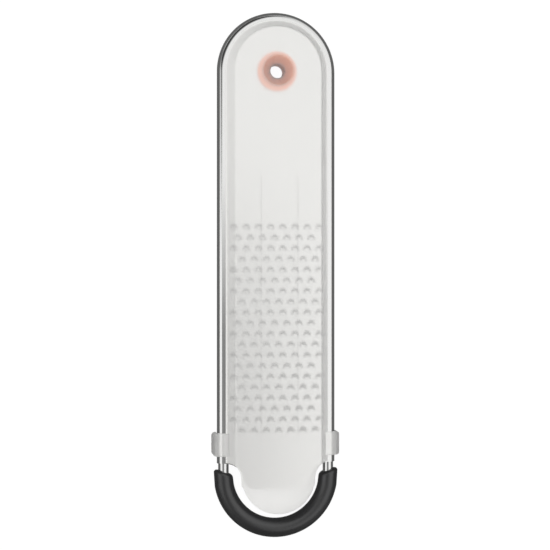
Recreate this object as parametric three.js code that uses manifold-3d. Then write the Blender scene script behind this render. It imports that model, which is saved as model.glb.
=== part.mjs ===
// A fine hand grater with its lift-off cover, in millimetres.
// It lies flat with the cover on top: +Z is up and +Y runs from the rubber foot to the hanging hole.
// The origin is under the middle of the object, on the surface that it lies on.

import * as THREE from 'three';
import { mergeGeometries, mergeVertices } from 'three/addons/utils/BufferGeometryUtils.js';
import Module from 'manifold-3d';

const wasm = await Module();
wasm.setup();

// Rod frame: one round rod bent to a long loop, its two ends meeting inside the foot grip
const ROD_RADIUS = 3;
const BEND_RADIUS = 30.25;
const STRAIGHT_LENGTH = 230.25;
const ROD_JOINT_GAP = 0.4;

// Steel plate: its edge is rolled over the rod from the top, round the outside
const SHEET = 0.5;
const CURL_CLEARANCE = 0.25;
const CURL_WRAP = THREE.MathUtils.degToRad(202.5);
const CURL_ROOT = 1;
const ROLL_END = 7.25;
const PLATE_TONGUE_GAP = 3.5;
const PLATE_NECK = 1.75;
const PLATE_FRONT = 7.5;
const PLATE_CORNER = 5;
const CORNER_SHARE = 0.9;

// Teeth: arched tongues pushed up out of the plate, open towards the handle
const TEETH_START = 88.2;
const TEETH_TO_ROLL_END = 18;
const TEETH_EDGE_GAP = 0.4;
const ROW_PITCH = 6.1;
const COLUMN_PITCH = 7;
const ROW_SHIFT = 1.167;
const TOOTH_WIDTH = 4.2;
const TOOTH_LENGTH = 3.2;
const TOOTH_SLOT = 0.8;
const TOOTH_RISE = 0.9;
const TOOTH_ROOT = 0.3;

// Foot grip: a rubber sleeve on the lower bend, with rounded and slanted ends
const FOOT_RADIUS = 5.5;
const FOOT_BORE_CLEARANCE = 0.25;
const FOOT_LEG = 2.3;
const FOOT_END_ROUND = 1.6;
const FOOT_END_SLANT = THREE.MathUtils.degToRad(17);

// Hanging eyelet: a flange on the plate, a barrel through its hole and a bead that snaps under it
const EYELET_WALL = 1.6;
const EYELET_CLEARANCE = 0.3;
const EYELET_BARREL = 6.25;
const FLANGE_OVERHANG = 4;
const FLANGE_HEIGHT = 1.15;
const FLANGE_EDGE = 0.4;
const DISH_OVERHANG = 3.2;
const DISH_DEPTH = 2.1;
const BEAD_OVERHANG = 0.7;
const BEAD_HEIGHT = 1.4;

// Cover: a shallow moulding over the plate with leaning walls
const COVER_CLEARANCE = 0.25;
const COVER_HEIGHT = 6.5;
const COVER_WALL = 1.2;
const COVER_MARGIN = 4.6;
const COVER_WALL_RUN = 4.5;
const COVER_EDGE = 0.8;
const COVER_SHOULDER = 4;
const COVER_NECK = 2.25;
const COVER_TONGUE_INSET = 0.25;
const COVER_TONGUE_RUN = 1;
const COVER_FRONT_INSET = 0.75;
const COVER_FRONT_RUN = 1.2;
const COVER_CORNER = 3;
const TAB_GAP = 3.85;

// Cover clips: straps over the rolled edge, one on each side
const CLIP_LENGTH = 13;
const CLIP_ABOVE_SHOULDER = 0.2;
const CLIP_CLEARANCE = 0.25;
const CLIP_WALL = 2.5;
const CLIP_SKIRT = 4.5;
const CLIP_CORNER = 2;

// Cover ribs and the hollow plug that passes through the eyelet
const RIB_OFFSET = 10.5;
const RIB_WIDTH = 1.6;
const RIB_HEIGHT = 1.4;
const RIB_FROM_HANDLE = 55;
const RIB_ABOVE_SHOULDER = 8.5;
const HANG_RADIUS = 4;
const PLUG_WALL = 1;
const PLUG_CLEARANCE = 0.3;
const PLUG_PROUD = 0.3;
const FUNNEL_RADIUS = 8.6;
const FUNNEL_DEPTH = 5;

// How finely round shapes are divided
const BEND_STEPS = 20;
const ROUND_SIDES = 16;
const HOLE_SIDES = 32;
const TOOTH_ARCH_STEPS = 4;
const CORNER_STEPS = 4;
const NECK_STEPS = 6;
const END_ROUND_STEPS = 3;
const CUT_PAST = 1;

// Places and sizes that follow from the driving dimensions
const curlInner = ROD_RADIUS + CURL_CLEARANCE;
const curlOuter = curlInner + SHEET;
const rodZ = FOOT_RADIUS;
const plateBottom = rodZ + curlInner;
const plateTop = rodZ + curlOuter;
const handleReach = BEND_RADIUS + curlOuter;
const footReach = BEND_RADIUS + FOOT_RADIUS;
const handleY = (STRAIGHT_LENGTH + footReach - handleReach) / 2;
const footY = handleY - STRAIGHT_LENGTH;
const footInner = BEND_RADIUS - FOOT_RADIUS;
const rollY = footY + ROLL_END;
const plateTongueHalf = footInner - PLATE_TONGUE_GAP;
const plateFrontY = footY - PLATE_FRONT;
const plugRadius = HANG_RADIUS + PLUG_WALL;
const eyeletBore = plugRadius + PLUG_CLEARANCE;
const barrelRadius = eyeletBore + EYELET_WALL;
const hangingHoleRadius = barrelRadius + EYELET_CLEARANCE;
const barrelEnd = plateBottom - EYELET_BARREL;
const coverSeat = plateTop + COVER_CLEARANCE;
const coverTop = coverSeat + COVER_HEIGHT;
const panelBottom = coverTop - COVER_WALL;
const coverHalf = BEND_RADIUS + curlOuter - COVER_MARGIN;
const coverShoulderY = rollY + COVER_SHOULDER;
const coverTongueHalf = plateTongueHalf - COVER_TONGUE_INSET;
const coverFrontY = plateFrontY + COVER_FRONT_INSET;

const FULL_TURN = 2 * Math.PI;
const HALF_TURN = Math.PI;
const QUARTER_TURN = Math.PI / 2;

// Solids

function solid(geometry) {
  const bare = geometry.clone();
  bare.deleteAttribute('normal');
  bare.deleteAttribute('uv');
  const merged = mergeVertices(bare);
  const mesh = new wasm.Mesh({
    numProp: 3,
    vertProperties: new Float32Array(merged.attributes.position.array),
    triVerts: new Uint32Array(merged.index.array),
  });
  return new wasm.Manifold(mesh);
}

function geometryOf(manifold) {
  const mesh = manifold.getMesh();
  const geometry = new THREE.BufferGeometry();
  geometry.setAttribute('position', new THREE.BufferAttribute(new Float32Array(mesh.vertProperties), 3));
  geometry.setIndex(new THREE.BufferAttribute(new Uint32Array(mesh.triVerts), 1));
  geometry.computeVertexNormals();
  return geometry;
}

// A closed skin over rings of points. Each ring runs anticlockwise seen from the next one.
function skin(rings, capOutline) {
  const count = rings[0].length;
  const positions = rings.flat().flatMap((point) => point.toArray());
  const index = [];
  for (let ring = 0; ring + 1 < rings.length; ring += 1) {
    for (let side = 0; side < count; side += 1) {
      const here = ring * count + side;
      const beside = ring * count + ((side + 1) % count);
      index.push(here, beside, here + count);
      index.push(beside, beside + count, here + count);
    }
  }
  const lastRing = (rings.length - 1) * count;
  for (const [a, b, c] of THREE.ShapeUtils.triangulateShape(capOutline, [])) {
    index.push(a, c, b);
    index.push(lastRing + a, lastRing + b, lastRing + c);
  }
  const geometry = new THREE.BufferGeometry();
  geometry.setAttribute('position', new THREE.Float32BufferAttribute(positions, 3));
  geometry.setIndex(index);
  geometry.computeVertexNormals();
  return geometry;
}

function prism(outline, bottom, top) {
  const shape = new THREE.Shape(outline);
  const geometry = new THREE.ExtrudeGeometry(shape, { depth: top - bottom, bevelEnabled: false });
  return geometry.translate(0, 0, bottom);
}

// Points of an arc, both ends included
function arc(centreX, centreY, radiusX, radiusY, from, to, steps) {
  return Array.from({ length: steps + 1 }, (_, step) => {
    const angle = from + ((to - from) * step) / steps;
    return new THREE.Vector2(centreX + radiusX * Math.cos(angle), centreY + radiusY * Math.sin(angle));
  });
}

function circle(radius, sides, centreX = 0, centreY = 0) {
  return arc(centreX, centreY, radius, radius, 0, FULL_TURN, sides).slice(0, sides);
}

// A body turned about the hanging hole's axis, through [radius, z] stations from the bottom up
function turned(stations) {
  const rings = stations.map(([radius, z]) =>
    circle(radius, HOLE_SIDES, 0, handleY).map((point) => new THREE.Vector3(point.x, point.y, z)),
  );
  return solid(skin(rings, circle(1, HOLE_SIDES)));
}

// The rod's loop, followed clockwise seen from above

function bend(centreY, from, to) {
  return Array.from({ length: BEND_STEPS + 1 }, (_, step) => ({
    centreY,
    angle: from + ((to - from) * step) / BEND_STEPS,
  }));
}

// A section of [outward, upward] points carried along the loop's stations
function sweep(section, stations) {
  const rings = stations.map(({ centreY, angle, scale = 1, slant = 0 }) =>
    section.map((point) => {
      const outward = BEND_RADIUS + point.x * scale;
      const x = outward * Math.cos(angle);
      const y = centreY + outward * Math.sin(angle) + slant * point.x * scale;
      return new THREE.Vector3(x, y, rodZ + point.y * scale);
    }),
  );
  return skin(rings, section);
}

const handleBend = bend(handleY, HALF_TURN, 0);
const footBend = bend(footY, 0, -HALF_TURN);

function wireFrame() {
  const jointAngle = ROD_JOINT_GAP / 2 / BEND_RADIUS;
  const half = BEND_STEPS / 2;
  const stations = [
    { centreY: footY, angle: -QUARTER_TURN - jointAngle },
    ...footBend.slice(half + 1),
    ...handleBend,
    ...footBend.slice(0, half),
    { centreY: footY, angle: -QUARTER_TURN + jointAngle },
  ];
  return sweep(circle(ROD_RADIUS, ROUND_SIDES), stations);
}

function footGrip() {
  const endSlant = Math.tan(FOOT_END_SLANT);
  const endRings = arc(0, 0, FOOT_END_ROUND, FOOT_END_ROUND, 0, QUARTER_TURN, END_ROUND_STEPS).map((point) => ({
    centreY: footY + FOOT_LEG - FOOT_END_ROUND + point.x,
    scale: (FOOT_RADIUS - FOOT_END_ROUND + point.y) / FOOT_RADIUS,
    slant: endSlant,
  }));
  const stations = [
    ...endRings.map((ring) => ({ ...ring, angle: 0 })),
    ...footBend.slice(1, -1),
    ...endRings.map((ring) => ({ ...ring, angle: -HALF_TURN })).reverse(),
  ];
  const boreEndY = footY + FOOT_LEG + FOOT_RADIUS;
  const boreStations = [
    { centreY: boreEndY, angle: 0 },
    ...footBend,
    { centreY: boreEndY, angle: -HALF_TURN },
  ];
  const sleeve = solid(sweep(circle(FOOT_RADIUS, ROUND_SIDES), stations));
  const bore = solid(sweep(circle(ROD_RADIUS + FOOT_BORE_CLEARANCE, ROUND_SIDES), boreStations));
  return geometryOf(sleeve.subtract(bore));
}

// Outline shared by the plate and the cover: a round handle end, straight sides, hollow necks and a tongue.
// The tongue's front corners never take up its whole side.
function bladeOutline({ half, shoulderY, neckY, tongueHalf, frontY, corner }) {
  const rounding = Math.min(corner, CORNER_SHARE * (neckY - frontY));
  const handleEnd = arc(0, handleY, half, half, 0, HALF_TURN, BEND_STEPS);
  const neck = arc(-half, neckY, half - tongueHalf, shoulderY - neckY, QUARTER_TURN, 0, NECK_STEPS);
  const frontCorner = arc(
    rounding - tongueHalf,
    frontY + rounding,
    rounding,
    rounding,
    HALF_TURN,
    HALF_TURN + QUARTER_TURN,
    CORNER_STEPS,
  );
  const leftSide = [...neck, ...frontCorner];
  const rightSide = leftSide.map((point) => new THREE.Vector2(-point.x, point.y)).reverse();
  return [...handleEnd, ...leftSide, ...rightSide];
}

// Where each tooth opens in the plate: full rows alternate with rows shifted to the left and to the right
function toothPlaces() {
  const firstRowY = handleY - TEETH_START;
  const lastRowY = rollY + TEETH_TO_ROLL_END;
  const rows = Math.floor((firstRowY - lastRowY) / ROW_PITCH) + 1;
  const reach = BEND_RADIUS - ROD_RADIUS - TEETH_EDGE_GAP - TOOTH_WIDTH / 2;
  const fullCount = 2 * Math.floor(reach / COLUMN_PITCH + 0.5);
  const shiftedCount = 2 * Math.floor((reach - ROW_SHIFT) / COLUMN_PITCH) + 1;
  const rowKinds = [
    { count: fullCount, shift: 0 },
    { count: shiftedCount, shift: -ROW_SHIFT },
    { count: fullCount, shift: 0 },
    { count: shiftedCount, shift: ROW_SHIFT },
  ];
  const places = [];
  for (let row = 0; row < rows; row += 1) {
    const { count, shift } = rowKinds[row % rowKinds.length];
    for (let column = 0; column < count; column += 1) {
      const x = (column - (count - 1) / 2) * COLUMN_PITCH + shift;
      places.push(new THREE.Vector2(x, firstRowY - row * ROW_PITCH - TOOTH_LENGTH / 2));
    }
  }
  return places;
}

function toothOpening(place) {
  const arch = arc(place.x, place.y, TOOTH_WIDTH / 2, TOOTH_LENGTH, 0, HALF_TURN, TOOTH_ARCH_STEPS);
  return prism(arch, plateBottom - CUT_PAST, plateTop + CUT_PAST);
}

// One tongue: a flat arch sheared upwards, its root sunk in the plate
function toothTongue(place) {
  const halfWidth = TOOTH_WIDTH / 2 - TOOTH_SLOT;
  const length = TOOTH_LENGTH - TOOTH_SLOT;
  const arch = arc(0, TOOTH_ROOT, halfWidth, length, 0, HALF_TURN, TOOTH_ARCH_STEPS);
  const root = [new THREE.Vector2(-halfWidth, 0), new THREE.Vector2(halfWidth, 0)];
  const slope = TOOTH_RISE / (length + TOOTH_ROOT);
  const tongue = prism([...root, ...arch], 0, SHEET);
  tongue.applyMatrix4(new THREE.Matrix4().makeShear(0, 0, 0, slope, 0, 0));
  return tongue.translate(place.x, place.y - TOOTH_ROOT, plateBottom);
}

function curlSection() {
  const steps = Math.round(CURL_WRAP / (FULL_TURN / ROUND_SIDES));
  const end = QUARTER_TURN - CURL_WRAP;
  return [
    ...arc(0, 0, curlOuter, curlOuter, end, QUARTER_TURN, steps),
    new THREE.Vector2(-CURL_ROOT, curlOuter),
    new THREE.Vector2(-CURL_ROOT, curlInner),
    ...arc(0, 0, curlInner, curlInner, QUARTER_TURN, end, steps),
  ];
}

function bladePlate() {
  const outline = bladeOutline({
    half: BEND_RADIUS,
    shoulderY: rollY,
    neckY: footY - PLATE_NECK,
    tongueHalf: plateTongueHalf,
    frontY: plateFrontY,
    corner: PLATE_CORNER,
  });
  const places = toothPlaces();
  const hangingHole = turned([
    [hangingHoleRadius, plateBottom - CUT_PAST],
    [hangingHoleRadius, plateTop + CUT_PAST],
  ]);
  const openings = solid(mergeGeometries(places.map(toothOpening)));
  const flat = solid(prism(outline, plateBottom, plateTop)).subtract(hangingHole).subtract(openings);
  const curlStations = [
    { centreY: rollY, angle: HALF_TURN },
    ...handleBend,
    { centreY: rollY, angle: 0 },
  ];
  const curl = solid(sweep(curlSection(), curlStations));
  const tongues = solid(mergeGeometries(places.map(toothTongue)));
  return geometryOf(flat.add(curl).add(tongues));
}

function hangingEyelet() {
  const flangeBottom = plateTop + EYELET_CLEARANCE;
  const flangeTop = flangeBottom + FLANGE_HEIGHT;
  const flangeRadius = hangingHoleRadius + FLANGE_OVERHANG;
  const beadTop = plateBottom - EYELET_CLEARANCE;
  const beadRadius = hangingHoleRadius + BEAD_OVERHANG;
  const dishRadius = eyeletBore + DISH_OVERHANG;
  const body = turned([
    [barrelRadius, barrelEnd],
    [barrelRadius, beadTop - BEAD_HEIGHT],
    [beadRadius, beadTop],
    [barrelRadius, beadTop],
    [barrelRadius, flangeBottom],
    [flangeRadius, flangeBottom],
    [flangeRadius, flangeTop - FLANGE_EDGE],
    [flangeRadius - FLANGE_EDGE, flangeTop],
  ]);
  const bore = turned([
    [eyeletBore, barrelEnd - CUT_PAST],
    [eyeletBore, flangeTop - DISH_DEPTH],
    [dishRadius, flangeTop],
    [dishRadius, flangeTop + CUT_PAST],
  ]);
  return geometryOf(body.subtract(bore));
}

// The cover's outline at a height above its seat, drawn in by an inset
function coverRing(height, inset) {
  const level = height / COVER_HEIGHT;
  const outline = bladeOutline({
    half: coverHalf - COVER_WALL_RUN * level - inset,
    shoulderY: coverShoulderY + inset,
    neckY: footY - COVER_NECK + inset,
    tongueHalf: coverTongueHalf - COVER_TONGUE_RUN * level - inset,
    frontY: coverFrontY + COVER_FRONT_RUN * level + inset,
    corner: COVER_CORNER - inset,
  });
  return outline.map((point) => new THREE.Vector3(point.x, point.y, coverSeat + height));
}

function coverLoft(...rings) {
  const capOutline = rings[0].map((point) => new THREE.Vector2(point.x, point.y));
  return solid(skin(rings, capOutline));
}

function coverClips() {
  const inner = curlOuter + CLIP_CLEARANCE;
  const outer = inner + CLIP_WALL;
  const steps = ROUND_SIDES / 4;
  const section = [
    new THREE.Vector2(outer, -CLIP_SKIRT),
    ...arc(0, 0, outer, outer, 0, QUARTER_TURN, steps),
    new THREE.Vector2(-COVER_MARGIN, outer),
    new THREE.Vector2(-COVER_MARGIN, inner),
    ...arc(0, 0, inner, inner, QUARTER_TURN, 0, steps),
    new THREE.Vector2(inner, -CLIP_SKIRT),
  ];
  const lowY = coverShoulderY + CLIP_ABOVE_SHOULDER;
  const highY = lowY + CLIP_LENGTH;
  const left = [
    { centreY: lowY, angle: HALF_TURN },
    { centreY: highY, angle: HALF_TURN },
  ];
  const right = [
    { centreY: highY, angle: 0 },
    { centreY: lowY, angle: 0 },
  ];
  const half = BEND_RADIUS + outer;
  const cornerX = half - CLIP_CORNER;
  const rounding = [CLIP_CORNER, CLIP_CORNER];
  const plan = [
    ...arc(cornerX, lowY + CLIP_CORNER, ...rounding, -QUARTER_TURN, 0, CORNER_STEPS),
    ...arc(cornerX, highY - CLIP_CORNER, ...rounding, 0, QUARTER_TURN, CORNER_STEPS),
    ...arc(-cornerX, highY - CLIP_CORNER, ...rounding, QUARTER_TURN, HALF_TURN, CORNER_STEPS),
    ...arc(-cornerX, lowY + CLIP_CORNER, ...rounding, HALF_TURN, HALF_TURN + QUARTER_TURN, CORNER_STEPS),
  ];
  const straps = solid(sweep(section, left)).add(solid(sweep(section, right)));
  return straps.intersect(solid(prism(plan, 0, coverTop)));
}

// The thumb tab: a thin disc at the cover's top, inside the lower bend
function coverTab() {
  const radius = footInner - TAB_GAP;
  const start = Math.asin(COVER_NECK / radius);
  const outline = arc(0, footY, radius, radius, HALF_TURN + start, FULL_TURN - start, BEND_STEPS);
  return solid(prism(outline, panelBottom, coverTop));
}

function coverRib(x) {
  const topY = handleY - RIB_FROM_HANDLE;
  const lowY = coverShoulderY + RIB_ABOVE_SHOULDER;
  const outline = [
    new THREE.Vector2(x - RIB_WIDTH / 2, lowY),
    new THREE.Vector2(x + RIB_WIDTH / 2, lowY),
    new THREE.Vector2(x + RIB_WIDTH / 2, topY),
    new THREE.Vector2(x - RIB_WIDTH / 2, topY),
  ];
  return solid(prism(outline, panelBottom - RIB_HEIGHT, panelBottom + COVER_WALL / 2));
}

function protectiveCover() {
  const outside = coverLoft(
    coverRing(0, 0),
    coverRing(COVER_HEIGHT - COVER_EDGE, 0),
    coverRing(COVER_HEIGHT, COVER_EDGE),
  );
  const inside = coverLoft(
    coverRing(-CUT_PAST, COVER_WALL),
    coverRing(COVER_HEIGHT - COVER_WALL, COVER_WALL),
  );
  const plugEnd = barrelEnd - PLUG_PROUD;
  const funnelFoot = coverTop - FUNNEL_DEPTH;
  const plug = turned([
    [plugRadius, plugEnd],
    [plugRadius, funnelFoot - PLUG_WALL / 2],
    [FUNNEL_RADIUS + PLUG_WALL, coverTop - PLUG_WALL],
    [FUNNEL_RADIUS + PLUG_WALL, coverTop],
  ]);
  const passage = turned([
    [HANG_RADIUS, plugEnd - CUT_PAST],
    [HANG_RADIUS, funnelFoot],
    [FUNNEL_RADIUS, coverTop],
    [FUNNEL_RADIUS, coverTop + CUT_PAST],
  ]);
  const shell = outside.add(coverClips()).add(coverTab()).subtract(inside);
  const ribbed = shell.add(coverRib(-RIB_OFFSET)).add(coverRib(RIB_OFFSET));
  return geometryOf(ribbed.add(plug).subtract(passage));
}

// Finishes

function steel() {
  return new THREE.MeshStandardMaterial({ color: 0xd6d8d9, roughness: 0.2, metalness: 1 });
}

function blackRubber() {
  return new THREE.MeshStandardMaterial({ color: 0x2a2b2d, roughness: 0.62, metalness: 0 });
}

function orangePlastic() {
  return new THREE.MeshStandardMaterial({ color: 0xea6a35, roughness: 0.45, metalness: 0 });
}

function frostedPlastic() {
  return new THREE.MeshStandardMaterial({
    color: 0xeceae6,
    roughness: 0.55,
    metalness: 0,
    transparent: true,
    opacity: 0.7,
  });
}

function piece(name, geometry, material) {
  const mesh = new THREE.Mesh(geometry, material);
  mesh.name = name;
  return mesh;
}

const grater = new THREE.Group();
grater.name = 'fine_grater';
grater.add(
  piece('wire_frame', wireFrame(), steel()),
  piece('blade_plate', bladePlate(), steel()),
  piece('foot_grip', footGrip(), blackRubber()),
  piece('hanging_eyelet', hangingEyelet(), orangePlastic()),
  piece('protective_cover', protectiveCover(), frostedPlastic()),
);

export default grater;
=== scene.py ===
"""A fine hand grater with its frosted cover on, lying on a white studio floor. Lengths are in metres."""

import math

import bmesh
import bpy
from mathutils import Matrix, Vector
from mathutils.geometry import delaunay_2d_cdt


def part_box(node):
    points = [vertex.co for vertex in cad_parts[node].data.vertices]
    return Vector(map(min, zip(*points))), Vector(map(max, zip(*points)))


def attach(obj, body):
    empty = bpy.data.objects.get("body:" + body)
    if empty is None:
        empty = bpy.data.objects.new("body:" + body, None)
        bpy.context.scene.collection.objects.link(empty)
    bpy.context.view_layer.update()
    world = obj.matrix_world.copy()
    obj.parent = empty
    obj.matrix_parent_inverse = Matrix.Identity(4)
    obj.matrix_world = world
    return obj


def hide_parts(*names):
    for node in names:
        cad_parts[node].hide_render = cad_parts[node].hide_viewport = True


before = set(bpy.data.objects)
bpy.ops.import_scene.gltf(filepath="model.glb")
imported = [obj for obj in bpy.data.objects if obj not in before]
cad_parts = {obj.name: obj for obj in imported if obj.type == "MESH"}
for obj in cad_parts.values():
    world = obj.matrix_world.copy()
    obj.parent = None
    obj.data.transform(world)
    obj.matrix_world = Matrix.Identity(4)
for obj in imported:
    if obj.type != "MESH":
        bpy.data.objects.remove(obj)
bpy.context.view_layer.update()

MM = 0.001

# Measures taken from the frame
wire_low, wire_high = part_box("wire_frame")
plate_low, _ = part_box("blade_plate")
foot_low, foot_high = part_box("foot_grip")
eyelet_low, eyelet_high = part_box("hanging_eyelet")
cover_low, cover_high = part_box("protective_cover")

ROD_RADIUS = (wire_high.z - wire_low.z) / 2
ROD_Z = (wire_high.z + wire_low.z) / 2
BEND_RADIUS = wire_high.x - ROD_RADIUS
HANDLE_Y = wire_high.y - wire_high.x
FOOT_Y = wire_low.y + wire_high.x
CURL_OUTER = ROD_Z - plate_low.z
PLATE_TOP = ROD_Z + CURL_OUTER
PLATE_FRONT_Y = plate_low.y
FOOT_RADIUS = (foot_high.z - foot_low.z) / 2
FLANGE_RADIUS = eyelet_high.x
COVER_TOP = cover_high.z
CLIP_HALF = cover_high.x
TAB_RADIUS = FOOT_Y - cover_low.y

# Rod
ROD_JOINT_GAP = 0.4 * MM

# Steel plate
SHEET = 0.5 * MM
CURL_WRAP = 202.5
ROLL_Y = FOOT_Y + 7.25 * MM
PLATE_TONGUE_HALF = 19.6 * MM
PLATE_NECK_Y = FOOT_Y - 1.75 * MM
PLATE_CORNER = 7 * MM
PLATE_BOTTOM = PLATE_TOP - SHEET
CURL_INNER = CURL_OUTER - SHEET
HANGING_HOLE_RADIUS = 7.2 * MM

# Teeth
TEETH_START = 88.2 * MM
TOOTH_ROWS = 20
ROW_PITCH = 6.1 * MM
COLUMN_PITCH = 7 * MM
ROW_SHIFT = COLUMN_PITCH / 6
FULL_ROW = 8
SHIFTED_ROW = 7
TOOTH_WIDTH = 4.5 * MM
TOOTH_LENGTH = 3.2 * MM
TOOTH_SLOT = 1.1 * MM
TOOTH_RISE = 0.8 * MM
TOOTH_CURVE = 1.4
TONGUE_SIDE_ANGLE = 12

# Foot grip
FOOT_LEG = 2.3 * MM
FOOT_END_ROUND = 1.9 * MM
FOOT_END_SLANT = math.tan(math.radians(17))
FOOT_BORE_RADIUS = ROD_RADIUS + 0.1 * MM
FOOT_END_STATIONS = 4

# Hanging eyelet
EYELET_CLEARANCE = 0.3 * MM
BEAD_OVERHANG = 0.7 * MM
BEAD_HEIGHT = 1.4 * MM
DISH_OVERHANG = 3.2 * MM
DISH_DEPTH = 3 * MM
EYELET_EDGE_ROUND = 0.35 * MM
EYELET_EDGE_SHARE = 0.45

# Cover
COVER_SEAT = PLATE_TOP + 0.25 * MM
COVER_HEIGHT = COVER_TOP - COVER_SEAT
COVER_WALL = 1.2 * MM
COVER_HALF = 29.4 * MM
COVER_WALL_RUN = 4.5 * MM
COVER_EDGE_ROUND = 1.6 * MM
COVER_SHOULDER_Y = ROLL_Y + 0.5 * MM
COVER_NECK_Y = FOOT_Y - 2.25 * MM
COVER_TONGUE_HALF = 21.8 * MM
COVER_FRONT_Y = PLATE_FRONT_Y + 0.75 * MM
COVER_NECK_RUN = 0.8 * MM
COVER_CORNER = 3 * MM
NECK_EDGE = 0.6 * MM
PANEL_BOTTOM = COVER_TOP - COVER_WALL
CLIP_LENGTH = 13 * MM
CLIP_LOW_Y = ROLL_Y + 4.2 * MM
CLIP_INNER = CURL_OUTER + 0.25 * MM
CLIP_OUTER = CLIP_HALF - BEND_RADIUS
CLIP_SKIRT = 4.5 * MM
CLIP_REACH = 5 * MM
CLIP_CORNER = 2 * MM
CLIP_EDGE = 0.5 * MM
RIB_OFFSET = 10.5 * MM
RIB_WIDTH = 1.6 * MM
RIB_HEIGHT = 0.9 * MM
RIB_TOP_Y = HANDLE_Y - 60 * MM
RIB_LOW_Y = CLIP_LOW_Y + 8.3 * MM
PLUG_BORE = 4 * MM
PLUG_RADIUS = 5 * MM
PLUG_END = cover_low.z + 1.2 * MM
FUNNEL_RADIUS = 8.6 * MM
FUNNEL_DEPTH = 5 * MM

# How finely round shapes are divided
BEND_STEPS = 72
TUBE_SIDES = 40
CURL_STEPS = 28
TURNED_SIDES = 72
NECK_STEPS = 18
CORNER_STEPS = 10
EDGE_STEPS = 6
TOOTH_ARCH_STEPS = 12
TOOTH_LENGTH_STEPS = 4
SMALL_EDGE_STEPS = 3
SMOOTH_ANGLE = math.radians(32)
BEVEL_ANGLE = math.radians(40)
CUT_PAST = 1 * MM
WELD_DISTANCE = 0.001 * MM
TRIANGLE_TOLERANCE = 0.0001 * MM

# Materials
NOISE_LOW = 0.3
NOISE_HIGH = 0.7

# Stage
WORLD_LIGHT = 1.05
WORLD_GLOOM = 0.14
FLOOR_HALF = 6
FLOOR_TONE = 0.8
FLOOR_GLOW = 1.06
FLOOR_SEEN_SHARE = 0.9
FLOOR_THROUGH_SHARE = 0.32
# Painted shade: cards just above the floor, under the plate and the clips, seen only through the slots and
# the cover
SHADE_CARD_Z = 0.6 * MM
SHADE_CARD_TONE = 0.05
CLIP_SHADE_INNER = 32 * MM
# Painted reflections: glowing sheets and darker flags, seen in the metal and through the cover, that light
# nothing
SHEET_Z = 0.7
FLAG_Z = 0.65
CORNER_FLAG_Z = 0.64
# Painted shade over the funnel round the hanging hole
FUNNEL_SHADE_TONE = 0.45
FUNNEL_SHADE_MARGIN = 0.9 * MM
FUNNEL_SHADE_GAP = 0.1 * MM

# Camera
CAMERA_DISTANCE = 0.78
CAMERA_LEAN = math.radians(8.6)
CAMERA_TARGET_X = -0.55 * MM
CAMERA_LENS = 89.15
CAMERA_SENSOR = 36


# Mesh tools

def arc(centre, radii, start, stop, steps):
    """Points of an elliptic arc from start to stop, in degrees, both ends included."""
    points = []
    for step in range(steps + 1):
        angle = math.radians(start + (stop - start) * step / steps)
        points.append((centre[0] + radii[0] * math.cos(angle), centre[1] + radii[1] * math.sin(angle)))
    return points


def circle(radius, sides, centre=(0, 0)):
    return arc(centre, (radius, radius), 0, 360, sides)[:-1]


def add_object(name, vertices, faces):
    mesh = bpy.data.meshes.new(name)
    mesh.from_pydata(vertices, [], faces)
    mesh.validate()
    obj = bpy.data.objects.new(name, mesh)
    bpy.context.scene.collection.objects.link(obj)
    return obj


def face_outwards(obj):
    """Welds equal points and turns every face of the closed mesh outwards."""
    work = bmesh.new()
    work.from_mesh(obj.data)
    bmesh.ops.remove_doubles(work, verts=work.verts, dist=WELD_DISTANCE)
    bmesh.ops.recalc_face_normals(work, faces=work.faces)
    work.to_mesh(obj.data)
    work.free()


def loft(name, rings, looped=False):
    """A closed skin over rings of points. A looped one joins its last ring to its first and has no caps."""
    count = len(rings[0])
    vertices = [point for ring in rings for point in ring]
    faces = []
    spans = len(rings) if looped else len(rings) - 1
    for span in range(spans):
        here = span * count
        there = (span + 1) % len(rings) * count
        for side in range(count):
            beside = (side + 1) % count
            faces.append((here + side, here + beside, there + beside, there + side))
    if not looped:
        faces.append(tuple(reversed(range(count))))
        faces.append(tuple(range((len(rings) - 1) * count, len(rings) * count)))
    obj = add_object(name, vertices, faces)
    face_outwards(obj)
    return obj


def prism(name, outline, bottom, top):
    return loft(name, [[(x, y, z) for x, y in outline] for z in (bottom, top)])


def turned(name, profile, looped=False):
    """A body turned about the hanging hole's axis, through (radius, z) stations."""
    rings = [
        [(x, y, z) for x, y in circle(radius, TURNED_SIDES, (0, HANDLE_Y))]
        for radius, z in profile
    ]
    return loft(name, rings, looped)


def apply_modifiers(obj):
    graph = bpy.context.evaluated_depsgraph_get()
    made = bpy.data.meshes.new_from_object(obj.evaluated_get(graph))
    obj.modifiers.clear()
    obj.data = made


def combine(base, other, operation):
    """Joins the other solid to the base, cuts it away or keeps what both share, and removes the other."""
    boolean = base.modifiers.new("combine", "BOOLEAN")
    boolean.operation = operation
    boolean.solver = "MANIFOLD"
    boolean.object = other
    apply_modifiers(base)
    bpy.data.objects.remove(other)
    return base


def round_edges(obj, width, segments):
    bevel = obj.modifiers.new("edges", "BEVEL")
    bevel.width = width
    bevel.segments = segments
    bevel.limit_method = "ANGLE"
    bevel.angle_limit = BEVEL_ANGLE
    apply_modifiers(obj)


def shade_smooth(obj):
    """Smooth shading that keeps flat faces flat and sharp edges sharp."""
    for polygon in obj.data.polygons:
        polygon.use_smooth = True
    obj.data.set_sharp_from_angle(angle=SMOOTH_ANGLE)
    weighted = obj.modifiers.new("normals", "WEIGHTED_NORMAL")
    weighted.keep_sharp = True


def dress(obj, body, node, material):
    shade_smooth(obj)
    obj.data.materials.clear()
    obj.data.materials.append(material)
    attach(obj, body)
    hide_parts(node)
    return obj


# The rod's loop: stations are (centre y, angle) and run clockwise seen from above

def bend(centre_y, start, stop):
    return [(centre_y, start + (stop - start) * step / BEND_STEPS) for step in range(BEND_STEPS + 1)]


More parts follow.
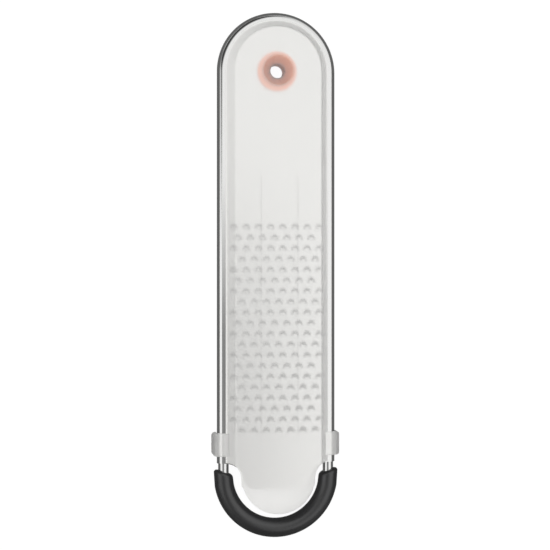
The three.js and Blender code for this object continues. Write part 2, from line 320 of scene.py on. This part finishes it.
def carried(section, station, scale=1, slant=0):
    """A section of (outward, upward) points about the rod's centre, set at a station of the loop."""
    centre_y, degrees = station
    angle = math.radians(degrees)
    ring = []
    for outward, upward in section:
        reach = BEND_RADIUS + outward * scale
        y = centre_y + reach * math.sin(angle) + slant * outward * scale
        ring.append((reach * math.cos(angle), y, ROD_Z + upward * scale))
    return ring


handle_bend = bend(HANDLE_Y, 180, 0)
foot_bend = bend(FOOT_Y, 0, -180)


def make_rod():
    half_gap = math.degrees(ROD_JOINT_GAP / 2 / BEND_RADIUS)
    middle = BEND_STEPS // 2
    stations = [(FOOT_Y, -90 - half_gap)] + foot_bend[middle + 1:] + handle_bend
    stations += foot_bend[:middle] + [(FOOT_Y, -90 + half_gap)]
    section = circle(ROD_RADIUS, TUBE_SIDES)
    return loft("rod_loop", [carried(section, station) for station in stations])


def make_foot():
    outer = circle(FOOT_RADIUS, TUBE_SIDES)
    bore = circle(FOOT_BORE_RADIUS, TUBE_SIDES)
    ends = []
    for along, across in arc((0, 0), (FOOT_END_ROUND, FOOT_END_ROUND), 0, 90, EDGE_STEPS):
        y = FOOT_Y + FOOT_LEG - FOOT_END_ROUND + along
        ends.append((y, (FOOT_RADIUS - FOOT_END_ROUND + across) / FOOT_RADIUS))
    end_y = FOOT_Y + FOOT_LEG
    rings = [carried(outer, (y, 0), scale, FOOT_END_SLANT) for y, scale in ends]
    rings += [carried(outer, station) for station in foot_bend[FOOT_END_STATIONS:-FOOT_END_STATIONS]]
    rings += [carried(outer, (y, -180), scale, FOOT_END_SLANT) for y, scale in reversed(ends)]
    rings.append(carried(bore, (end_y, -180), 1, FOOT_END_SLANT))
    rings += [carried(bore, station) for station in reversed(foot_bend)]
    rings.append(carried(bore, (end_y, 0), 1, FOOT_END_SLANT))
    return loft("foot_sleeve", rings, looped=True)


# Steel plate

def tooth_places():
    """Middle of each tooth's hinge line. Every second row is shorter, and shifted left or right in turn."""
    kinds = ((FULL_ROW, 0), (SHIFTED_ROW, -ROW_SHIFT), (FULL_ROW, 0), (SHIFTED_ROW, ROW_SHIFT))
    places = []
    for row in range(TOOTH_ROWS):
        count, shift = kinds[row % len(kinds)]
        y = HANDLE_Y - TEETH_START - row * ROW_PITCH - TOOTH_LENGTH / 2
        for column in range(count):
            places.append(((column - (count - 1) / 2) * COLUMN_PITCH + shift, y))
    return places


def tooth_columns():
    """Across one tongue: where each column starts on the hinge line, and how long it is."""
    half = TOOTH_WIDTH / 2 - TOOTH_SLOT
    length = TOOTH_LENGTH - TOOTH_SLOT
    return arc((0, 0), (half, length), TONGUE_SIDE_ANGLE, 180 - TONGUE_SIDE_ANGLE, TOOTH_ARCH_STEPS)


def tooth_loop(place):
    """The opening's outline: its arch, then the hinge line's points from left to right."""
    x, y = place
    arch = arc((x, y), (TOOTH_WIDTH / 2, TOOTH_LENGTH), 0, 180, TOOTH_ARCH_STEPS)
    hinge = [(x + across, y) for across, _ in reversed(tooth_columns())]
    return arch + hinge


def plate_outline():
    """The plate's edge: first along the rolled rim, then round the necks and the tongue."""
    rim = [(BEND_RADIUS, ROLL_Y)] + arc((0, HANDLE_Y), (BEND_RADIUS, BEND_RADIUS), 0, 180, BEND_STEPS)
    rim.append((-BEND_RADIUS, ROLL_Y))
    neck_radii = (BEND_RADIUS - PLATE_TONGUE_HALF, ROLL_Y - PLATE_NECK_Y)
    left = arc((-BEND_RADIUS, PLATE_NECK_Y), neck_radii, 90, 0, NECK_STEPS)[1:]
    corner_centre = (PLATE_CORNER - PLATE_TONGUE_HALF, PLATE_FRONT_Y + PLATE_CORNER)
    left += arc(corner_centre, (PLATE_CORNER, PLATE_CORNER), 180, 270, CORNER_STEPS)
    right = [(-x, y) for x, y in reversed(left)]
    return rim, left + right


def flat_triangles(loops):
    """Triangles of the flat sheet inside the first loop and outside the others, by point number."""
    points = [Vector(point) for loop in loops for point in loop]
    edges = []
    loop_of = []
    for number, loop in enumerate(loops):
        first = len(loop_of)
        loop_of += [number] * len(loop)
        edges += [(first + i, first + (i + 1) % len(loop)) for i in range(len(loop))]
    inside_constraints = 1
    result = delaunay_2d_cdt(points, edges, [], inside_constraints, TRIANGLE_TOLERANCE)
    originals = [sources[0] for sources in result[3]]
    triangles = []
    for face in result[2]:
        corners = [originals[corner] for corner in face]
        owners = {loop_of[corner] for corner in corners}
        if owners == {0} or len(owners) > 1:
            triangles.append(corners)
    return triangles


def add_tongue(vertices, faces, place, hinge_top, hinge_bottom):
    """One raised tongue on the hinge's top and bottom points, which run from left to right."""
    length = TOOTH_LENGTH - TOOTH_SLOT
    columns = list(reversed(tooth_columns()))
    top = [list(hinge_top)]
    bottom = [list(hinge_bottom)]
    for step in range(1, TOOTH_LENGTH_STEPS + 1):
        top.append([])
        bottom.append([])
        for across, reach in columns:
            y = reach * step / TOOTH_LENGTH_STEPS
            rise = TOOTH_RISE * (y / length) ** TOOTH_CURVE
            for row, z in ((top[-1], PLATE_TOP + rise), (bottom[-1], PLATE_BOTTOM + rise)):
                row.append(len(vertices))
                vertices.append((place[0] + across, place[1] + y, z))
    for low, high in zip(range(TOOTH_LENGTH_STEPS), range(1, TOOTH_LENGTH_STEPS + 1)):
        for i in range(len(columns) - 1):
            faces.append((top[low][i], top[low][i + 1], top[high][i + 1], top[high][i]))
            faces.append((bottom[low][i + 1], bottom[low][i], bottom[high][i], bottom[high][i + 1]))
        for i in (0, -1):
            faces.append((top[low][i], top[high][i], bottom[high][i], bottom[low][i]))
    for i in range(len(columns) - 1):
        faces.append((top[-1][i], top[-1][i + 1], bottom[-1][i + 1], bottom[-1][i]))


def make_plate():
    rim, free_edge = plate_outline()
    places = tooth_places()
    teeth = [tooth_loop(place) for place in places]
    hole = circle(HANGING_HOLE_RADIUS, TURNED_SIDES, (0, HANDLE_Y))
    loops = [rim + free_edge, hole] + teeth
    points = [point for loop in loops for point in loop]
    count = len(points)
    vertices = [(x, y, PLATE_TOP) for x, y in points] + [(x, y, PLATE_BOTTOM) for x, y in points]
    faces = []
    for a, b, c in flat_triangles(loops):
        faces.append((a, b, c))
        faces.append((count + c, count + b, count + a))

    def add_wall(start, stop):
        faces.append((start, stop, count + stop, count + start))

    outline_size = len(loops[0])
    for i in range(len(rim) - 1, outline_size):
        add_wall(i, (i + 1) % outline_size)
    for i in range(len(hole)):
        add_wall(outline_size + i, outline_size + (i + 1) % len(hole))
    first = outline_size + len(hole)
    arch_size = TOOTH_ARCH_STEPS + 1
    for place, loop in zip(places, teeth):
        for i in range(arch_size):
            add_wall(first + i, first + i + 1)
        add_wall(first + len(loop) - 1, first)
        hinge = range(first + arch_size, first + len(loop))
        add_tongue(vertices, faces, place, hinge, [count + i for i in hinge])
        first += len(loop)
    plate = add_object("grating_plate", vertices, faces)
    add_curl(plate)
    face_outwards(plate)
    return plate


def add_curl(plate):
    """The rolled rim: the sheet goes on from the plate's edge over the rod and round its outside."""
    end = 90 - CURL_WRAP
    section = arc((0, 0), (CURL_OUTER, CURL_OUTER), 90, end, CURL_STEPS)
    section += arc((0, 0), (CURL_INNER, CURL_INNER), end, 90, CURL_STEPS)
    stations = [(ROLL_Y, 180)] + handle_bend + [(ROLL_Y, 0)]
    work = bmesh.new()
    work.from_mesh(plate.data)
    rings = [[work.verts.new(point) for point in carried(section, station)] for station in stations]
    for ring, following in zip(rings, rings[1:]):
        for side in range(len(section) - 1):
            work.faces.new((ring[side], ring[side + 1], following[side + 1], following[side]))
    for ring in (rings[0], rings[-1]):
        work.faces.new(ring)
    work.to_mesh(plate.data)
    work.free()


# Hanging eyelet

def rounded_profile(corners, radius, steps):
    """A closed (radius, z) profile with each of its corners rounded off."""
    profile = []
    for number, corner in enumerate(corners):
        here = Vector(corner)
        before = Vector(corners[number - 1])
        after = Vector(corners[(number + 1) % len(corners)])
        start = here + (before - here).normalized() * min(radius, (before - here).length * EYELET_EDGE_SHARE)
        stop = here + (after - here).normalized() * min(radius, (after - here).length * EYELET_EDGE_SHARE)
        for step in range(steps + 1):
            t = step / steps
            profile.append(tuple(start.lerp(here, t).lerp(here.lerp(stop, t), t)))
    return profile


def make_eyelet():
    bore = PLUG_RADIUS + EYELET_CLEARANCE
    barrel = HANGING_HOLE_RADIUS - EYELET_CLEARANCE
    flange_bottom = PLATE_TOP + EYELET_CLEARANCE
    bead_top = PLATE_BOTTOM - EYELET_CLEARANCE
    bead_radius = HANGING_HOLE_RADIUS + BEAD_OVERHANG
    dish_radius = bore + DISH_OVERHANG
    dish_bottom = eyelet_high.z - DISH_DEPTH
    corners = [
        (bore, eyelet_low.z),
        (barrel, eyelet_low.z),
        (barrel, bead_top - BEAD_HEIGHT),
        (bead_radius, bead_top),
        (barrel, bead_top),
        (barrel, flange_bottom),
        (FLANGE_RADIUS, flange_bottom),
        (FLANGE_RADIUS, eyelet_high.z),
        (dish_radius, eyelet_high.z),
        (bore, dish_bottom),
    ]
    profile = rounded_profile(corners, EYELET_EDGE_ROUND, SMALL_EDGE_STEPS)
    return turned("eyelet_ring", profile, looped=True)


# Cover

def cover_ring(height, inset, front_y):
    """The cover's outline at a height above its seat, drawn in by an inset and still without its neck."""
    half = COVER_HALF - COVER_WALL_RUN * height / COVER_HEIGHT - inset
    outline = arc((0, HANDLE_Y), (half, half), 0, 180, BEND_STEPS) + [(-half, front_y), (half, front_y)]
    return [(x, y, COVER_SEAT + height) for x, y in outline]


def neck_ring(z, inset, front_y):
    """The plan that the neck leaves: wide above the shoulders, and a tongue with rounded corners below."""
    wide = COVER_HALF + CUT_PAST
    tongue_half = COVER_TONGUE_HALF - inset
    shoulder_y = COVER_SHOULDER_Y + inset
    neck_radii = (COVER_HALF - COVER_TONGUE_HALF + inset, COVER_SHOULDER_Y - COVER_NECK_Y)
    neck_y = shoulder_y - neck_radii[1]
    left = [(-wide, HANDLE_Y + wide), (-wide, shoulder_y)]
    left += arc((-COVER_HALF, neck_y), neck_radii, 90, 0, NECK_STEPS)
    corner = COVER_CORNER
    left += arc((corner - tongue_half, front_y + corner), (corner, corner), 180, 270, CORNER_STEPS)
    return [(x, y, z) for x, y in left + [(-x, y) for x, y in reversed(left)]]


def cover_body(name, bottom, top, inset, neck_inset, edge, front_y):
    """A solid from the seat to a rounded top edge that runs on from the wall's lean, cut to the neck."""
    lean = math.degrees(math.atan(COVER_WALL_RUN / COVER_HEIGHT))
    rings = [cover_ring(bottom, inset, front_y)]
    turn_in = math.cos(math.radians(lean))
    for across, along in arc((0, 0), (1, 1), lean, 90, EDGE_STEPS):
        rings.append(cover_ring(top - edge * (1 - along), inset + edge * (turn_in - across), front_y))
    body = loft(name, rings)
    neck = [neck_ring(COVER_SEAT + bottom, neck_inset, front_y)]
    for across, along in arc((0, 0), (NECK_EDGE, NECK_EDGE), 0, 90, EDGE_STEPS):
        z = COVER_SEAT + top - NECK_EDGE + along
        neck.append(neck_ring(z, neck_inset + COVER_NECK_RUN + NECK_EDGE - across, front_y))
    return combine(body, loft("plan", neck), "INTERSECT")


def make_clips():
    """Both straps over the rolled rim, with rounded plan corners and soft edges."""
    section = [(CLIP_OUTER, -CLIP_SKIRT)]
    section += arc((0, 0), (CLIP_OUTER, CLIP_OUTER), 0, 90, CORNER_STEPS)
    section += [(-CLIP_REACH, CLIP_OUTER), (-CLIP_REACH, CLIP_INNER)]
    section += arc((0, 0), (CLIP_INNER, CLIP_INNER), 90, 0, CORNER_STEPS)
    section.append((CLIP_INNER, -CLIP_SKIRT))
    high_y = CLIP_LOW_Y + CLIP_LENGTH
    low_corner = CLIP_LOW_Y + CLIP_CORNER
    high_corner = high_y - CLIP_CORNER
    corner_x = CLIP_HALF - CLIP_CORNER
    radii = (CLIP_CORNER, CLIP_CORNER)
    right_plan = arc((corner_x, low_corner), radii, -90, 0, CORNER_STEPS)
    right_plan += arc((corner_x, high_corner), radii, 0, 90, CORNER_STEPS)
    clips = []
    for angle, side in ((0, 1), (180, -1)):
        strap = loft("strap", [carried(section, (y, angle)) for y in (CLIP_LOW_Y, high_y)])
        plan = [(0, CLIP_LOW_Y)] + right_plan + [(0, high_y)]
        combine(strap, prism("plan", [(side * x, y) for x, y in plan], 0, COVER_TOP), "INTERSECT")
        round_edges(strap, CLIP_EDGE, SMALL_EDGE_STEPS)
        clips.append(strap)
    return clips


def make_tab():
    start = math.degrees(math.asin((FOOT_Y - COVER_NECK_Y) / TAB_RADIUS))
    outline = arc((0, FOOT_Y), (TAB_RADIUS, TAB_RADIUS), 180 + start, 360 - start, BEND_STEPS)
    return prism("tab", outline, PANEL_BOTTOM, COVER_TOP)


def make_rib(x):
    half = RIB_WIDTH / 2
    outline = [(x - half, RIB_LOW_Y), (x + half, RIB_LOW_Y), (x + half, RIB_TOP_Y), (x - half, RIB_TOP_Y)]
    return prism("rib", outline, PANEL_BOTTOM - RIB_HEIGHT, PANEL_BOTTOM + COVER_WALL / 2)


def make_cover():
    cover = cover_body(
        "clear_cover",
        bottom=0,
        top=COVER_HEIGHT,
        inset=0,
        neck_inset=0,
        edge=COVER_EDGE_ROUND,
        front_y=COVER_FRONT_Y,
    )
    for clip in make_clips():
        combine(cover, clip, "UNION")
    combine(cover, make_tab(), "UNION")
    inside = cover_body(
        "inside",
        bottom=-CUT_PAST,
        top=COVER_HEIGHT - COVER_WALL,
        inset=COVER_WALL,
        neck_inset=-2 * CUT_PAST,
        edge=COVER_EDGE_ROUND / 2,
        front_y=COVER_FRONT_Y - CUT_PAST,
    )
    combine(cover, inside, "DIFFERENCE")
    for x in (-RIB_OFFSET, RIB_OFFSET):
        combine(cover, make_rib(x), "UNION")
    wall = PLUG_RADIUS - PLUG_BORE
    funnel_foot = COVER_TOP - FUNNEL_DEPTH
    plug = turned("plug", [
        (PLUG_RADIUS, PLUG_END),
        (PLUG_RADIUS, funnel_foot - wall / 2),
        (FUNNEL_RADIUS + wall, COVER_TOP - wall),
        (FUNNEL_RADIUS + wall, COVER_TOP),
    ])
    passage = turned("passage", [
        (PLUG_BORE, PLUG_END - CUT_PAST),
        (PLUG_BORE, funnel_foot),
        (FUNNEL_RADIUS, COVER_TOP),
        (FUNNEL_RADIUS, COVER_TOP + CUT_PAST),
    ])
    combine(cover, plug, "UNION")
    combine(cover, passage, "DIFFERENCE")
    return cover


# Materials

def new_material(name):
    material = bpy.data.materials.new(name)
    material.use_nodes = True
    tree = material.node_tree
    return material, tree, tree.nodes["Principled BSDF"]


def noise(tree, scale, detail, stretch=(1, 1, 1)):
    """Noise in object space, in features per metre, drawn out along an axis by the stretch."""
    place = tree.nodes.new("ShaderNodeTexCoord")
    mapping = tree.nodes.new("ShaderNodeMapping")
    mapping.inputs["Scale"].default_value = stretch
    texture = tree.nodes.new("ShaderNodeTexNoise")
    texture.inputs["Scale"].default_value = scale
    texture.inputs["Detail"].default_value = detail
    tree.links.new(place.outputs["Object"], mapping.inputs["Vector"])
    tree.links.new(mapping.outputs["Vector"], texture.inputs["Vector"])
    return texture.outputs["Fac"]


def spread(tree, value, low, high):
    """The noise value spread between two numbers."""
    node = tree.nodes.new("ShaderNodeMapRange")
    node.inputs["From Min"].default_value = NOISE_LOW
    node.inputs["From Max"].default_value = NOISE_HIGH
    node.inputs["To Min"].default_value = low
    node.inputs["To Max"].default_value = high
    tree.links.new(value, node.inputs["Value"])
    return node.outputs["Result"]


def tint(tree, value, dark, light):
    node = tree.nodes.new("ShaderNodeMix")
    node.data_type = "RGBA"
    node.inputs["A"].default_value = (*dark, 1)
    node.inputs["B"].default_value = (*light, 1)
    tree.links.new(value, node.inputs["Factor"])
    return node.outputs["Result"]


def bump(tree, bsdf, value, height):
    node = tree.nodes.new("ShaderNodeBump")
    node.inputs["Strength"].default_value = 1
    node.inputs["Distance"].default_value = height
    tree.links.new(value, node.inputs["Height"])
    tree.links.new(node.outputs["Normal"], bsdf.inputs["Normal"])


def steel(name, low_roughness, high_roughness):
    """Polished stainless steel with faint drawing lines along its length."""
    material, tree, bsdf = new_material(name)
    lines = noise(tree, scale=900, detail=4, stretch=(1, 0.02, 1))
    colour = tint(tree, lines, dark=(0.80, 0.80, 0.79), light=(0.86, 0.86, 0.85))
    bsdf.inputs["Metallic"].default_value = 1
    tree.links.new(colour, bsdf.inputs["Base Color"])
    tree.links.new(spread(tree, lines, low_roughness, high_roughness), bsdf.inputs["Roughness"])
    bump(tree, bsdf, lines, height=0.002 * MM)
    return material


def black_rubber():
    """Soft satin rubber with a fine grain and slightly uneven sheen."""
    material, tree, bsdf = new_material("black_rubber")
    grain = noise(tree, scale=2600, detail=3)
    patches = noise(tree, scale=60, detail=3)
    colour = tint(tree, patches, dark=(0.008, 0.008, 0.009), light=(0.010, 0.010, 0.011))
    tree.links.new(colour, bsdf.inputs["Base Color"])
    tree.links.new(spread(tree, patches, low=0.33, high=0.39), bsdf.inputs["Roughness"])
    bsdf.inputs["Specular IOR Level"].default_value = 1
    bump(tree, bsdf, grain, height=0.03 * MM)
    return material


def orange_plastic():
    """Smooth moulded plastic, a little uneven in colour and gloss."""
    material, tree, bsdf = new_material("orange_plastic")
    patches = noise(tree, scale=120, detail=3)
    colour = tint(tree, patches, dark=(0.84, 0.22, 0.07), light=(0.87, 0.25, 0.09))
    tree.links.new(colour, bsdf.inputs["Base Color"])
    tree.links.new(spread(tree, patches, low=0.32, high=0.42), bsdf.inputs["Roughness"])
    bsdf.inputs["Specular IOR Level"].default_value = 0.25
    return material


def frosted_plastic():
    """Milky translucent plastic: some light scatters at the surface and the rest goes through, blurred."""
    material, tree, bsdf = new_material("frosted_plastic")
    clouds = noise(tree, scale=90, detail=4)
    grain = noise(tree, scale=3000, detail=2)
    colour = tint(tree, clouds, dark=(0.953, 0.949, 0.933), light=(0.963, 0.959, 0.943))
    tree.links.new(colour, bsdf.inputs["Base Color"])
    tree.links.new(spread(tree, clouds, low=0.50, high=0.54), bsdf.inputs["Roughness"])
    bsdf.inputs["Transmission Weight"].default_value = 0.75
    bsdf.inputs["IOR"].default_value = 1.25
    bump(tree, bsdf, grain, height=0.001 * MM)
    absorption = tree.nodes.new("ShaderNodeVolumeAbsorption")
    absorption.inputs["Color"].default_value = (0.5, 0.5, 0.5, 1)
    absorption.inputs["Density"].default_value = 40
    tree.links.new(absorption.outputs["Volume"], tree.nodes["Material Output"].inputs["Volume"])
    return material


# Stage

def make_world():
    """White light from all round, and gloom in place of it where the metal mirrors no card."""
    world = bpy.data.worlds.new("studio")
    bpy.context.scene.world = world
    world.use_nodes = True
    tree = world.node_tree
    background = tree.nodes["Background"]
    background.inputs["Color"].default_value = (1, 1, 1, 1)
    path = tree.nodes.new("ShaderNodeLightPath")
    strength = tree.nodes.new("ShaderNodeMapRange")
    strength.inputs["To Min"].default_value = WORLD_LIGHT
    strength.inputs["To Max"].default_value = WORLD_GLOOM
    tree.links.new(path.outputs["Is Glossy Ray"], strength.inputs["Value"])
    tree.links.new(strength.outputs["Result"], background.inputs["Strength"])


def floor_material():
    """White where it is seen, with a trace of the object's shadow left in it."""
    material, tree, bsdf = new_material("floor")
    bsdf.inputs["Base Color"].default_value = (FLOOR_TONE, FLOOR_TONE, FLOOR_TONE, 1)
    bsdf.inputs["Roughness"].default_value = 1
    glow = tree.nodes.new("ShaderNodeEmission")
    glow.inputs["Strength"].default_value = FLOOR_GLOW
    path = tree.nodes.new("ShaderNodeLightPath")
    through = tree.nodes.new("ShaderNodeMapRange")
    through.inputs["To Max"].default_value = FLOOR_THROUGH_SHARE
    share = tree.nodes.new("ShaderNodeMapRange")
    share.inputs["To Max"].default_value = FLOOR_SEEN_SHARE
    mix = tree.nodes.new("ShaderNodeMixShader")
    tree.links.new(path.outputs["Is Transmission Ray"], through.inputs["Value"])
    tree.links.new(path.outputs["Is Camera Ray"], share.inputs["Value"])
    tree.links.new(through.outputs["Result"], share.inputs["To Min"])
    tree.links.new(share.outputs["Result"], mix.inputs["Fac"])
    tree.links.new(bsdf.outputs["BSDF"], mix.inputs[1])
    tree.links.new(glow.outputs["Emission"], mix.inputs[2])
    tree.links.new(mix.outputs["Shader"], tree.nodes["Material Output"].inputs["Surface"])
    return material


# Painted contact shade under the clips: a near-black card
def clip_shade_material():
    material, _, bsdf = new_material("painted_clip_shade")
    bsdf.inputs["Base Color"].default_value = (SHADE_CARD_TONE, SHADE_CARD_TONE, SHADE_CARD_TONE, 1)
    bsdf.inputs["Specular IOR Level"].default_value = 0
    bsdf.inputs["Roughness"].default_value = 1
    return material


def glow_material(name, low_y, low_glow, high_y, high_glow):
    """A glow that changes steadily along the card, from one y to another; it gives the stage cards their
    painted reflections and painted shade.
    """
    material, tree, bsdf = new_material(name)
    tree.nodes.remove(bsdf)
    place = tree.nodes.new("ShaderNodeTexCoord")
    axes = tree.nodes.new("ShaderNodeSeparateXYZ")
    ramp = tree.nodes.new("ShaderNodeMapRange")
    ramp.inputs["From Min"].default_value = low_y
    ramp.inputs["From Max"].default_value = high_y
    ramp.inputs["To Min"].default_value = low_glow
    ramp.inputs["To Max"].default_value = high_glow
    glow = tree.nodes.new("ShaderNodeEmission")
    tree.links.new(place.outputs["Object"], axes.inputs["Vector"])
    tree.links.new(axes.outputs["Y"], ramp.inputs["Value"])
    tree.links.new(ramp.outputs["Result"], glow.inputs["Strength"])
    tree.links.new(glow.outputs["Emission"], tree.nodes["Material Output"].inputs["Surface"])
    return material


def add_card(name, x_range, y_range, z, material):
    corners = [(x_range[0], y_range[0], z), (x_range[1], y_range[0], z)]
    corners += [(x_range[1], y_range[1], z), (x_range[0], y_range[1], z)]
    card = add_object(name, corners, [(0, 1, 2, 3)])
    card.data.materials.append(material)
    return card


def shade_funnel():
    """A grey card over the funnel round the hanging hole, seen only by shadow and diffuse rays: painted
    shade that holds back part of the light falling into the funnel, in place of the funnel's own shadow.
    """
    material, tree, bsdf = new_material("funnel_shade")
    tree.nodes.remove(bsdf)
    veil = tree.nodes.new("ShaderNodeBsdfTransparent")
    veil.inputs["Color"].default_value = (FUNNEL_SHADE_TONE, FUNNEL_SHADE_TONE, FUNNEL_SHADE_TONE, 1)
    tree.links.new(veil.outputs["BSDF"], tree.nodes["Material Output"].inputs["Surface"])
    mouth = circle(FUNNEL_RADIUS - FUNNEL_SHADE_MARGIN, TURNED_SIDES, (0, HANDLE_Y))
    points = [(x, y, COVER_TOP + FUNNEL_SHADE_GAP) for x, y in mouth]
    disc = add_object("funnel_shade", points, [range(len(points))])
    disc.data.materials.append(material)
    disc.visible_camera = False
    disc.visible_glossy = False
    disc.visible_transmission = False


def only_in_reflections(card):
    card.visible_camera = False
    card.visible_diffuse = False
    card.visible_shadow = False


def add_shade_card(name, x_range, y_range, material):
    """A card just above the floor that is seen through the plate's slots or the cover, but not by itself:
    painted shade standing in for the shade under the grater.
    """
    card = add_card(name, x_range, y_range, SHADE_CARD_Z, material)
    card.visible_camera = False


def add_shade_cards():
    # Painted shade under the plate: a dim glow, darker towards the foot than towards the handle
    painted_plate_shade = glow_material("painted_plate_shade", low_y=-0.08, low_glow=0.05, high_y=0.06, high_glow=0.27)
    add_shade_card("shade_under_plate", (-26 * MM, 26 * MM), (-100 * MM, 60 * MM), painted_plate_shade)
    # Painted contact shade under both clips, seen through them
    dark = clip_shade_material()
    clip_span = (CLIP_LOW_Y, CLIP_LOW_Y + CLIP_LENGTH)
    add_shade_card("shade_under_clip", (-CLIP_HALF, -CLIP_SHADE_INNER), clip_span, dark)
    add_shade_card("shade_under_clip", (CLIP_SHADE_INNER, CLIP_HALF), clip_span, dark)


def add_sheets():
    """White glowing sheets over the object, one above it and two far off behind its foot: painted
    reflections, seen in the metal and through the cover but never directly, and lighting nothing.
    """
    near = glow_material("sheet", low_y=0.1, low_glow=1.01, high_y=2.3, high_glow=0.3)
    only_in_reflections(add_card("overhead_sheet", (-2.44, 1.12), (-0.7, 2.3), SHEET_Z, near))
    far = glow_material("far_sheet", low_y=-2.5, low_glow=0.55, high_y=-1.2, high_glow=0.3)
    for x_range in ((-4, -1.2), (1.2, 4)):
        only_in_reflections(add_card("far_sheet", x_range, (-4.5, -1.2), SHEET_Z, far))


def add_flags():
    """Darker cards below the sheet, which give the rolled rim its dark lines: painted reflections, seen in
    the metal and through the cover but never directly.
    """
    middle = glow_material("camera_flag", low_y=-0.06, low_glow=0.25, high_y=0.1, high_glow=0.95)
    only_in_reflections(add_card("camera_flag", (-0.41, 0.09), (-0.7, 0.4), FLAG_Z, middle))
    side = glow_material("side_flag", low_y=0, low_glow=1, high_y=0.6, high_glow=0.3)
    only_in_reflections(add_card("side_flag", (-2.4, -0.77), (0, 1.2), FLAG_Z, side))
    corner = glow_material("corner_flag", low_y=0.3, low_glow=1, high_y=0.55, high_glow=0.05)
    corner_flag = add_card("corner_flag", (-0.35, 1), (0.3, 1.6), CORNER_FLAG_Z, corner)
    corner_flag.rotation_euler = (0, 0, math.radians(45))
    only_in_reflections(corner_flag)


def make_stage():
    floor_span = (-FLOOR_HALF, FLOOR_HALF)
    floor = add_card("floor", floor_span, floor_span, 0, floor_material())
    # Painted dark reflections: the floor is left out of reflections, which see the world's gloom in its
    # place
    floor.visible_glossy = False
    add_shade_cards()
    add_sheets()
    add_flags()
    shade_funnel()


def make_camera():
    """Square above the middle of the object, leaning over from its left side."""
    target = Vector((CAMERA_TARGET_X, 0, ROD_Z))
    data = bpy.data.cameras.new("camera")
    data.lens = CAMERA_LENS
    data.sensor_width = CAMERA_SENSOR
    camera = bpy.data.objects.new("camera", data)
    towards_camera = Vector((-math.sin(CAMERA_LEAN), 0, math.cos(CAMERA_LEAN)))
    camera.location = target + towards_camera * CAMERA_DISTANCE
    camera.rotation_euler = (0, -CAMERA_LEAN, 0)
    bpy.context.scene.collection.objects.link(camera)
    bpy.context.scene.camera = camera


make_camera()
make_world()
make_stage()

dress(make_rod(), "grater", "wire_frame", steel("rod_steel", 0.06, 0.1))
dress(make_plate(), "grater", "blade_plate", steel("plate_steel", 0.07, 0.12))
dress(make_foot(), "grater", "foot_grip", black_rubber())
dress(make_eyelet(), "grater", "hanging_eyelet", orange_plastic())
cover = dress(make_cover(), "cover", "protective_cover", frosted_plastic())

# The cover is frosted where it is looked through, and lets light pass to the pieces below it
cover.visible_shadow = False
cover.visible_glossy = False
cover.visible_diffuse = False

bpy.context.scene.view_settings.view_transform = "Standard"
